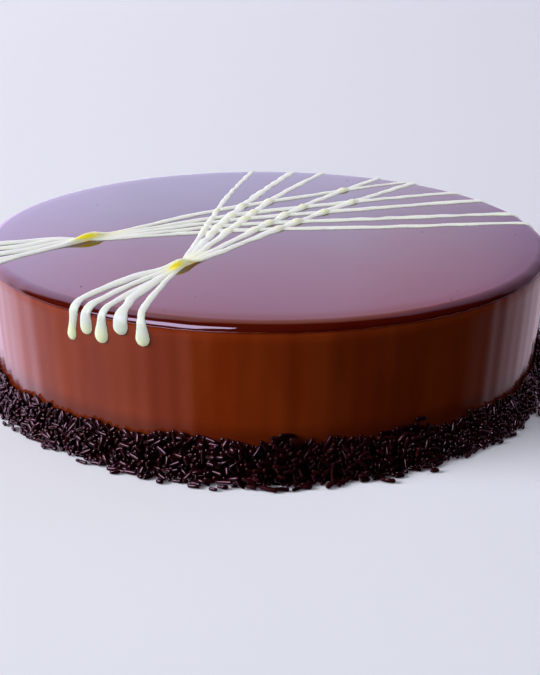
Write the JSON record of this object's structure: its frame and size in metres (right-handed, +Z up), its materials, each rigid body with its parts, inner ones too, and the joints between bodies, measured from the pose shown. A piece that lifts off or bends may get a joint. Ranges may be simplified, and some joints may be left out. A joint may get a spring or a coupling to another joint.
{
  "type": "chocolate cake",
  "caption": "Whole round glazed chocolate cake with two crossing bunches of piped white lines that drip over its rim and a heap of sprinkles round its foot.",
  "frame": {"origin": "centre of the cake's underside, on the surface that it stands on", "axes": "+Z up; -Y is the front, where one bunch of piped lines drips over the rim to the left of the middle; +X to the right as seen from the front"},
  "size_m": [0.236, 0.2368, 0.0529],
  "materials": {
    "dark_glaze": "mirror glaze of dark chocolate, smooth and wet looking, with a few tiny bubbles",
    "milk_chocolate": "tempered milk chocolate, glossy, faintly wavy",
    "white_chocolate": "piped white chocolate, soft satin gloss, yellow where it is thick",
    "chocolate_sprinkles": "glossy dark chocolate vermicelli"
  },
  "bodies": {
    "root": {"cake_body": "dark_glaze", "chocolate_band": "milk_chocolate", "piped_lines": "white_chocolate", "sprinkle_ring": "chocolate_sprinkles"}
  },
  "joints": []
}
